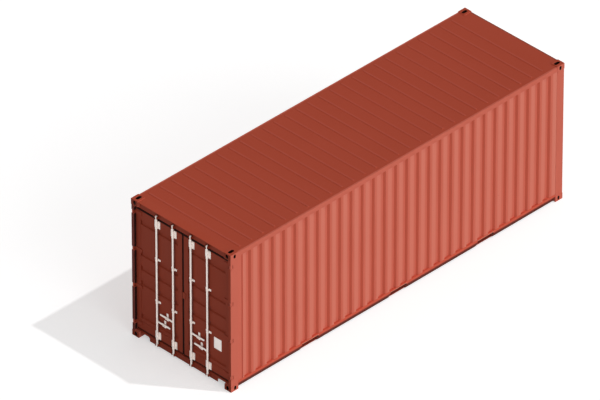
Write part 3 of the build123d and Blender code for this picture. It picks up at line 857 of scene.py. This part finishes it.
@dataclass
class Painter:
    """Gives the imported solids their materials.

    Attributes:
        nodes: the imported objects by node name.
        finishes: the finishes to choose from.
        made: the materials that are made so far, by name.
    """

    nodes: dict[str, bpy.types.Object]
    finishes: Finishes
    made: dict[str, bpy.types.Material] = field(default_factory=dict)

    def material(self, finish: Finish) -> bpy.types.Material:
        """The material of a finish, made once.

        Args:
            finish: one of the finishes.

        Returns:
            Its material.
        """
        if finish.name not in self.made:
            self.made[finish.name] = finish.material()
        return self.made[finish.name]

    def paint(self) -> None:
        """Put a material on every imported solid."""
        rules = self.finishes.rules()
        for name, thing in self.nodes.items():
            finish = next(finish for pattern, finish in rules if fnmatchcase(name, pattern))
            thing.data.materials.clear()
            thing.data.materials.append(self.material(finish))
            LOG.info("finish %s on %s", finish.name, name)

    def pale(self) -> list[bpy.types.Object]:
        """The pale things on the doors.

        Returns:
            Everything finished in zinc or white enamel.
        """
        names = (self.finishes.zinc.name, self.finishes.plate.name)
        meshes = [thing for thing in bpy.data.objects if thing.type == "MESH" and thing.active_material]
        return [thing for thing in meshes if thing.active_material.name in names]


@dataclass
class Piece:
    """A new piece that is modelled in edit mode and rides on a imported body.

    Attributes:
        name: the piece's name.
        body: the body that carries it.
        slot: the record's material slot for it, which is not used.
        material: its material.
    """

    name: str
    body: str
    slot: Slot
    material: bpy.types.Material

    def model(self, work: Callable[[], None]) -> bpy.types.Object:
        """Model the piece with edit-mode operators.

        Args:
            work: what is done in edit mode, on an empty mesh.

        Returns:
            The finished object.
        """
        thing = self.mount(bpy.data.meshes.new(self.name))
        bpy.ops.object.select_all(action="DESELECT")
        bpy.context.view_layer.objects.active = thing
        thing.select_set(True)
        bpy.ops.object.mode_set(mode="EDIT")
        work()
        bpy.ops.mesh.select_all(action="SELECT")
        bpy.ops.mesh.normals_make_consistent(inside=False)
        bpy.ops.object.mode_set(mode="OBJECT")
        bpy.ops.object.shade_smooth_by_angle(angle=math.radians(SMOOTH_ANGLE))
        thing.data.materials.append(self.material)
        LOG.info("piece %s on %s: %d faces", self.name, self.body, len(thing.data.polygons))
        return thing

    def copy(self, source: bpy.types.Object, move: Point) -> bpy.types.Object:
        """Make the piece as a copy of a finished one, at another place.

        Args:
            source: the finished object.
            move: the way from it to this piece.

        Returns:
            The copy, with a mesh of its own.
        """
        mesh = source.data.copy()
        mesh.name = self.name
        mesh.transform(Matrix.Translation(move))
        LOG.info("piece %s on %s: a copy of %s", self.name, self.body, source.name)
        return self.mount(mesh)

    def mount(self, mesh: bpy.types.Mesh) -> bpy.types.Object:
        """Make the piece's object, which rides on its body.

        Args:
            mesh: the object's mesh.

        Returns:
            The object.
        """
        thing = bpy.data.objects.new(self.name, mesh)
        bpy.context.scene.collection.objects.link(thing)
        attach(thing, self.body)
        return thing


class Bench:
    """The edit-mode steps that the new pieces share. The newest shape stays selected.

    Attributes:
        square_on: how nearly a picked face has to look the wanted way, 1 for exactly.
    """

    square_on: float = 0.99

    @staticmethod
    def bar(middle: Point, size: Point, edge: float) -> None:
        """Add a bar with softened edges.

        Args:
            middle: its centre.
            size: its length along each axis.
            edge: the width of the softened edge.
        """
        bpy.ops.mesh.select_all(action="DESELECT")
        bpy.ops.mesh.primitive_cube_add(size=1.0, location=middle)
        bpy.ops.transform.resize(value=size, center_override=middle)
        bpy.ops.mesh.bevel(offset=edge, segments=2, affect="EDGES")

    @staticmethod
    def pick(facing: Facing) -> None:
        """Keep only the selected faces that look one way.

        Args:
            facing: the way that they look.
        """
        mesh = bmesh.from_edit_mesh(bpy.context.edit_object.data)
        wanted = Vector(facing.value)
        picked = [face for face in mesh.faces if face.select]
        chosen = [face for face in picked if face.normal.dot(wanted) > Bench.square_on]
        bpy.ops.mesh.select_all(action="DESELECT")
        bpy.ops.mesh.select_mode(type="FACE")
        for face in chosen:
            face.select_set(True)
        mesh.select_flush_mode()
        bmesh.update_edit_mesh(bpy.context.edit_object.data)

    @staticmethod
    def repeat(spots: Sequence[Point], turn: float = 0.0) -> None:
        """Copy the selected shape from the first spot to each of the others.

        Args:
            spots: where the shape stands, and where its copies go.
            turn: how far each copy is turned about X from the one before it, in radians.
        """
        bpy.ops.mesh.select_linked()
        for last, spot in zip(spots, spots[1:]):
            bpy.ops.mesh.duplicate()
            bpy.ops.transform.translate(value=Vector(spot) - Vector(last))
            if turn:
                bpy.ops.transform.rotate(value=turn, orient_axis="X", center_override=spot)


@dataclass(frozen=True)
class Bolt:
    """A bolt head on a washer, which stands out towards -X.

    Attributes:
        radius: half the head's width over its six corners.
        height: how far the head stands out, the washer included.
        edge: the width of the head's softened edges.
        washer: the washer's thickness.
        washer_radius: the washer's radius.
        washer_edge: the width of its softened edges.
    """

    radius: float = 0.0075
    height: float = 0.008
    edge: float = 0.0009
    washer: float = 0.002
    washer_radius: float = 0.010125
    washer_edge: float = 0.0006

    def add(self, foot: Point) -> None:
        """Add the bolt in edit mode.

        Args:
            foot: the middle of the face that it stands on.
        """
        x, y, z = foot
        across = (0.0, math.pi / 2, 0.0)
        bpy.ops.mesh.select_all(action="DESELECT")
        bpy.ops.mesh.primitive_cylinder_add(
            vertices=20, radius=self.washer_radius, depth=self.washer,
            location=(x - self.washer / 2, y, z), rotation=across,
        )
        bpy.ops.mesh.bevel(offset=self.washer_edge, segments=1, affect="EDGES")
        bpy.ops.mesh.select_all(action="DESELECT")
        bpy.ops.mesh.primitive_cylinder_add(
            vertices=6, radius=self.radius, depth=self.height - self.washer,
            location=(x - (self.height + self.washer) / 2, y, z), rotation=across,
        )
        bpy.ops.mesh.bevel(offset=self.edge, segments=2, affect="EDGES")


@dataclass
class BarePlate:
    """The blank enamelled plate on the right door, with a raised rim and a rivet at each corner.

    Attributes:
        face: the X of the door sheet that it lies on.
        middle: its middle, as Y and Z.
        size: its width and height.
        thickness: how far it stands out.
        edge: the width of its softened edges.
        rim: the width of the rim.
        recess: how deep the middle lies below the rim.
        rivet: the radius of a rivet.
        rivet_inset: from a rivet to the plate's edges.
        rivet_rise: the height of a rivet as a share of its radius.
    """

    face: float
    middle: Span = (-0.842, 0.815)
    size: Span = (0.182, 0.232)
    thickness: float = 0.004
    edge: float = 0.0008
    rim: float = 0.007
    recess: float = 0.0012
    rivet: float = 0.0055
    rivet_inset: float = 0.016
    rivet_rise: float = 0.55

    def build(self, painter: Painter) -> None:
        """Model the plate in its finish."""
        enamel = painter.material(painter.finishes.plate)
        Piece("bare_plate", "right_door", Slot.ZINC, enamel).model(self.shape)

    def shape(self) -> None:
        """The plate's steps in edit mode."""
        y, z = self.middle
        width, height = self.size
        outer = self.face - self.thickness
        centre = (self.face - self.thickness / 2, y, z)
        Bench.bar(centre, (self.thickness, width, height), self.edge)
        Bench.pick(Facing.REAR)
        bpy.ops.mesh.inset(thickness=self.rim, depth=0.0)
        bpy.ops.mesh.extrude_region_move(TRANSFORM_OT_translate={"value": (self.recess, 0.0, 0.0)})
        across, up = (length / 2 - self.rivet_inset for length in self.size)
        spots = [(outer, y + side * across, z + end * up) for side in (-1, 1) for end in (-1, 1)]
        bpy.ops.mesh.select_all(action="DESELECT")
        bpy.ops.mesh.primitive_uv_sphere_add(
            segments=12, ring_count=8, radius=self.rivet, location=spots[0]
        )
        bpy.ops.transform.resize(value=(self.rivet_rise, 1.0, 1.0), center_override=spots[0])
        Bench.repeat(spots)


@dataclass
class BearingBolts:
    """The bolts that hold the rod bearings and guides to one door.

    Attributes:
        side: left or right.
        rods: the Y of each rod.
        bearings: the low and high end of each bearing and guide on a rod, from the lowest up.
        leaf: the X of the door frame, which carries the end bearings.
        sheet: the X of the door sheet, which carries the guides between them.
        plate: the thickness of the plates that the bolts hold.
        reach: from a rod to the bolts beside it.
        inset: from the ends of an end bearing to its bolts.
        turn: how far each head is turned from the one before it, in radians.
        bolt: the bolt that repeats.
    """

    side: str
    rods: Sequence[float]
    bearings: Sequence[Span]
    leaf: float
    sheet: float
    plate: float = 0.008
    reach: float = 0.048
    inset: float = 0.025
    turn: float = 0.61
    bolt: Bolt = Bolt()

    def build(self, painter: Painter) -> None:
        """Model the bolts as one piece."""
        zinc = painter.material(painter.finishes.zinc)
        Piece(f"{self.side}_bearing_bolts", f"{self.side}_door", Slot.ZINC, zinc).model(self.shape)

    def shape(self) -> None:
        """The bolts' steps in edit mode."""
        lowest, *guides, highest = self.bearings
        at_ends = [z for low, high in (lowest, highest) for z in (low + self.inset, high - self.inset)]
        at_guides = [(low + high) / 2 for low, high in guides]
        spots = [
            (face - self.plate, rod + way * self.reach, z)
            for rod in self.rods
            for face, heights in ((self.leaf, at_ends), (self.sheet, at_guides))
            for z in heights
            for way in (-1, 1)
        ]
        self.bolt.add(spots[0])
        bpy.ops.mesh.select_all(action="SELECT")
        Bench.repeat(spots, self.turn)


@dataclass
class WeldBeads:
    """The weld beads round the sheet of one door.

    Attributes:
        side: left or right.
        face: the X of the sheet.
        low: the lowest corner of the sheet, as Y and Z.
        high: its highest corner.
        width: the width of a bead, which stands out by half of it.
        softness: the width of the softened edges as a share of that height.
    """

    side: str
    face: float
    low: Span
    high: Span
    width: float = 0.006
    softness: float = 0.45

    def build(self, painter: Painter) -> None:
        """Model the beads as one piece."""
        paint = painter.material(painter.finishes.door)
        Piece(f"{self.side}_door_welds", f"{self.side}_door", Slot.PAINT, paint).model(self.shape)

    def shape(self) -> None:
        """The beads' steps in edit mode."""
        y0, z0 = self.low
        y1, z1 = self.high
        half = self.width / 2
        x = self.face - half / 2
        uprights = [(x, y, (z0 + z1) / 2) for y in (y0 + half, y1 - half)]
        levels = [(x, (y0 + y1) / 2, z) for z in (z0 + half, z1 - half)]
        upright_size = (half, self.width, z1 - z0)
        level_size = (half, y1 - y0 - 2 * self.width, self.width)
        for spots, size in ((uprights, upright_size), (levels, level_size)):
            Bench.bar(spots[0], size, half * self.softness)
            Bench.repeat(spots)


@dataclass
class PocketRims:
    """The pale lips over the mouths of the fork pockets.

    Attributes:
        centres: the X of each pocket.
        faces: the Y of the two rails' outer faces.
        top: the height of a mouth's upper edge.
        half_width: half a pocket's width.
        overlap: how far a lip reaches past the mouth at each end.
        height: the height of a lip.
        rise: how far it stands out of the rail.
        edge: the width of its softened edges.
    """

    centres: Sequence[float]
    faces: Span
    top: float = POCKET_MOUTH_TOP
    half_width: float = 0.2
    overlap: float = 0.006
    height: float = 0.012
    rise: float = 0.003
    edge: float = 0.0009

    def build(self, painter: Painter) -> None:
        """Model the lips as one piece."""
        paint = painter.material(painter.finishes.rim)
        Piece("pocket_rims", "container", Slot.PAINT, paint).model(self.shape)

    def shape(self) -> None:
        """The lips' steps in edit mode."""
        right, left = self.faces
        places = (right - self.rise / 2, left + self.rise / 2)
        spots = [(x, y, self.top + self.height / 2) for x in self.centres for y in places]
        length = 2 * (self.half_width + self.overlap)
        Bench.bar(spots[0], (length, self.rise, self.height), self.edge)
        Bench.repeat(spots)


@dataclass
class LapSeams:
    """The welded laps where the first sheet of each side wall meets the plate beside its rear post, in
    a darker red that is painted shade for the corner there.

    Attributes:
        x: the middle of the laps.
        heights: where they start and end.
        faces: the Y of the two walls' outer faces.
        width: the width of a lap.
        rise: how far it stands out of the wall.
        edge: the width of its softened edges.
    """

    x: float
    heights: Span
    faces: Span
    width: float = 0.026
    rise: float = 0.003
    edge: float = 0.0009

    def build(self, painter: Painter) -> None:
        """Model both laps as one piece."""
        paint = painter.material(painter.finishes.seam)
        Piece("lap_seams", "container", Slot.PAINT, paint).model(self.shape)

    def shape(self) -> None:
        """The laps' steps in edit mode."""
        low, high = self.heights
        right, left = self.faces
        places = (right - self.rise / 2, left + self.rise / 2)
        spots = [(self.x, y, (low + high) / 2) for y in places]
        Bench.bar(spots[0], (self.width, self.rise, high - low), self.edge)
        Bench.repeat(spots)


@dataclass
class RodCaps:
    """The domed caps that close the two ends of every lock rod.

    Attributes:
        axes: the X and Y of each rod, by the first words of its name.
        radius: the radius of a cap.
        rise: the height of its straight side.
        slope: the width of the domed edge.
        crown: how far the middle stands above the side.
    """

    axes: dict[str, Span]
    radius: float = 0.0165
    rise: float = 0.005
    slope: float = 0.007425
    crown: float = 0.002

    def build(self, painter: Painter) -> None:
        """Model the caps of the first rod as one piece, and copy it to the others.

        Args:
            painter: where the finishes come from.
        """
        zinc = painter.material(painter.finishes.zinc)
        pieces = [Piece(f"{rod}_rod_caps", f"{rod}_lock", Slot.ZINC, zinc) for rod in self.axes]
        places = [Vector((*axis, 0.0)) for axis in self.axes.values()]
        first = pieces[0].model(self.shape)
        for piece, place in zip(pieces[1:], places[1:]):
            piece.copy(first, place - places[0])

    def shape(self) -> None:
        """The steps in edit mode for the first rod's caps."""
        rod, (x, y) = next(iter(self.axes.items()))
        low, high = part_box(f"{rod}_rod")
        for z, way, facing in ((low.z, -1, Facing.DOWN), (high.z, 1, Facing.UP)):
            bpy.ops.mesh.select_all(action="DESELECT")
            bpy.ops.mesh.primitive_cylinder_add(
                vertices=28, radius=self.radius, depth=self.rise,
                location=(x, y, z + way * self.rise / 2),
            )
            Bench.pick(facing)
            bpy.ops.mesh.inset(thickness=self.slope, depth=self.crown)


@dataclass(frozen=True)
class Lamp:
    """A soft, far lamp.

    Attributes:
        name: the lamp's name.
        towards: the way from the object to the lamp.
        strength: its strength.
        softness: the angle that it fills, in degrees.
        distance: how far off its symbol hangs, in metres.
    """

    name: str
    towards: Point
    strength: float
    softness: float
    distance: float = 30.0

    def hang(self) -> bpy.types.Object:
        """Put the lamp in the scene.

        Returns:
            The lamp.
        """
        data = bpy.data.lights.new(self.name, "SUN")
        data.energy = self.strength
        data.angle = math.radians(self.softness)
        lamp = bpy.data.objects.new(self.name, data)
        way = Vector(self.towards).normalized()
        lamp.rotation_mode = "QUATERNION"
        lamp.rotation_quaternion = way.to_track_quat("Z", "Y")
        lamp.location = way * self.distance
        bpy.context.scene.collection.objects.link(lamp)
        return lamp

    def hang_for(self, things: Iterable[bpy.types.Object]) -> None:
        """Put the lamp in the scene and let it light only some things.

        Args:
            things: what it lights.
        """
        receivers = bpy.data.collections.new(f"{self.name}_receivers")
        for thing in things:
            receivers.objects.link(thing)
        self.hang().light_linking.receiver_collection = receivers


@dataclass
class Studio:
    """The floor, the lights and the camera.

    Attributes:
        gear: the pale door gear that has a lamp of its own.
        target: the point that the camera looks at.
        azimuth: where the camera stands round the object, in degrees.
        elevation: how far above the horizon it stands, in degrees.
        view_width: the width of the picture at the target, in metres.
        distance: how far off it stands, in metres.
        sensor: the width of the camera's sensor, in millimetres.
        clip: how far the camera sees, in metres.
        key: the lamp that casts the shadow.
        fill: the broad lamp for the long side.
        gear_lamp: the lamp for the door gear.
        sky: how strongly the world lights the object.
        floor_size: the length of the floor's sides, in metres.
        floor_drop: how far it lies under the object, in metres.
        floor_tone: its colour.
        floor_glow: what it adds to that where the camera sees it.
    """

    gear: Sequence[bpy.types.Object]
    target: Point = (-0.608, 0.608, 1.405)
    azimuth: float = -45.0
    elevation: float = 35.26
    view_width: float = 10.46
    distance: float = 200.0
    sensor: float = 36.0
    clip: float = 1000.0
    key: Lamp = Lamp("key", (0.31, -0.42, 0.85), 1.0, 1.2)
    fill: Lamp = Lamp("fill", (0.0, -0.978, 0.208), 1.7, 60.0)
    gear_lamp: Lamp = Lamp("gear", (-0.9, -0.3, 0.25), 1.15, 40.0)
    sky: float = 0.33
    floor_size: float = 400.0
    floor_drop: float = 0.0005
    floor_tone: Colour = (0.8, 0.8, 0.8)
    floor_glow: float = 0.478

    def build(self) -> None:
        """Set the whole studio up."""
        self.floor()
        self.world()
        self.key.hang()
        self.fill.hang()
        self.gear_lamp.hang_for(self.gear)
        self.camera()
        bpy.context.scene.view_settings.view_transform = "Standard"
        LOG.info("studio ready")

    def floor(self) -> None:
        """Lay a plain pale floor that catches a soft shadow."""
        bpy.ops.mesh.primitive_plane_add(size=self.floor_size, location=(0.0, 0.0, -self.floor_drop))
        ground = bpy.context.active_object
        ground.name = "floor_plane"
        material = bpy.data.materials.new("pale_floor")
        material.use_nodes = True
        tree = material.node_tree
        tree.nodes.clear()
        matt = tree.nodes.new("ShaderNodeBsdfDiffuse")
        matt.inputs["Color"].default_value = (*self.floor_tone, 1.0)
        glow = tree.nodes.new("ShaderNodeEmission")
        glow.inputs["Color"].default_value = WHITE
        tree.links.new(self.looked_at(tree, 0.0, self.floor_glow), glow.inputs["Strength"])
        both = tree.nodes.new("ShaderNodeAddShader")
        tree.links.new(matt.outputs[0], both.inputs[0])
        tree.links.new(glow.outputs[0], both.inputs[1])
        out = tree.nodes.new("ShaderNodeOutputMaterial")
        tree.links.new(both.outputs[0], out.inputs["Surface"])
        ground.data.materials.append(material)
        ground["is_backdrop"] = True

    def world(self) -> None:
        """Light everything softly and show white behind the floor."""
        world = bpy.data.worlds.new("studio")
        bpy.context.scene.world = world
        world.use_nodes = True
        tree = world.node_tree
        back = tree.nodes["Background"]
        back.inputs["Color"].default_value = WHITE
        tree.links.new(self.looked_at(tree, self.sky, 1.0), back.inputs["Strength"])

    @staticmethod
    def looked_at(tree: bpy.types.NodeTree, unseen: float, seen: float) -> bpy.types.NodeSocket:
        """A value that changes where the camera sees the backdrop, straight or by a mirror or glass.

        Args:
            tree: the nodes that it joins.
            unseen: the value for the light that falls on the object.
            seen: the value where the camera sees the backdrop.

        Returns:
            The value.
        """
        rays = tree.nodes.new("ShaderNodeLightPath").outputs
        total = rays["Is Camera Ray"]
        for kind in ("Is Glossy Ray", "Is Transmission Ray"):
            both = tree.nodes.new("ShaderNodeMath")
            both.operation = "MAXIMUM"
            tree.links.new(total, both.inputs[0])
            tree.links.new(rays[kind], both.inputs[1])
            total = both.outputs[0]
        level = tree.nodes.new("ShaderNodeMapRange")
        level.inputs["To Min"].default_value = unseen
        level.inputs["To Max"].default_value = seen
        tree.links.new(total, level.inputs["Value"])
        return level.outputs["Result"]

    def camera(self) -> None:
        """Put the camera far off, where the view is almost parallel."""
        turn, rise = math.radians(self.azimuth), math.radians(self.elevation)
        level = math.cos(rise)
        back = Vector((math.sin(turn) * level, -math.cos(turn) * level, math.sin(rise)))
        data = bpy.data.cameras.new("camera")
        data.sensor_width = self.sensor
        data.lens = self.sensor * self.distance / self.view_width
        data.clip_end = self.clip
        camera = bpy.data.objects.new("camera", data)
        camera.rotation_mode = "QUATERNION"
        camera.location = Vector(self.target) + back * self.distance
        camera.rotation_quaternion = (-back).to_track_quat("-Z", "Y")
        bpy.context.scene.collection.objects.link(camera)
        bpy.context.scene.camera = camera


def add_door_fittings(frame: dict, painter: Painter) -> None:
    """Add the bolts and weld beads of both doors, the caps of their rods and the bare plate.

    Args:
        frame: the loaded frame.
        painter: where the finishes come from.
    """
    sides = ("left", "right")
    rods = [f"{side}_{place}" for side in sides for place in ("outer", "inner")]
    axes = {rod: joint_axis(frame["joints"], f"{rod}_lock") for rod in rods}
    for side in sides:
        leaf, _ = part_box(f"{side}_door_frame")
        low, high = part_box(f"{side}_door_panel")
        across = [y for rod, (_, y) in axes.items() if rod.startswith(side)]
        bearings = spans(frame["nodes"][f"{side}_rod_bearings"], 2)
        BearingBolts(side, across, bearings, leaf.x, low.x).build(painter)
        WeldBeads(side, low.x, (low.y, low.z), (high.y, high.z)).build(painter)
    RodCaps(axes).build(painter)
    BarePlate(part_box("right_door_panel")[0].x).build(painter)


def add_side_fittings(frame: dict, painter: Painter, sizes: Measures) -> None:
    """Add the lips of the fork pockets and the lap seams of the side walls.

    Args:
        frame: the loaded frame.
        painter: where the finishes come from.
        sizes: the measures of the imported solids.
    """
    mouths = [(low + high) / 2 for low, high in spans(frame["nodes"]["fork_pockets"], 0)]
    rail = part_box("left_bottom_rail")[1].y
    PocketRims(mouths, (-rail, rail)).build(painter)
    low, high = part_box("left_side_wall")
    LapSeams(sizes.rear + SEAM_FROM_END, (low.z, high.z), (-high.y, high.y)).build(painter)


def main() -> None:
    """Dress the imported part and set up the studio."""
    logging.basicConfig(level=logging.INFO, format="%(name)s: %(message)s")
    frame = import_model()
    sizes = Measures.read(frame["nodes"], frame["joints"])
    painter = Painter(frame["nodes"], Finishes(sizes))
    painter.paint()
    add_door_fittings(frame, painter)
    add_side_fittings(frame, painter, sizes)
    Studio(painter.pale()).build()


if __name__ == "__main__":
    main()
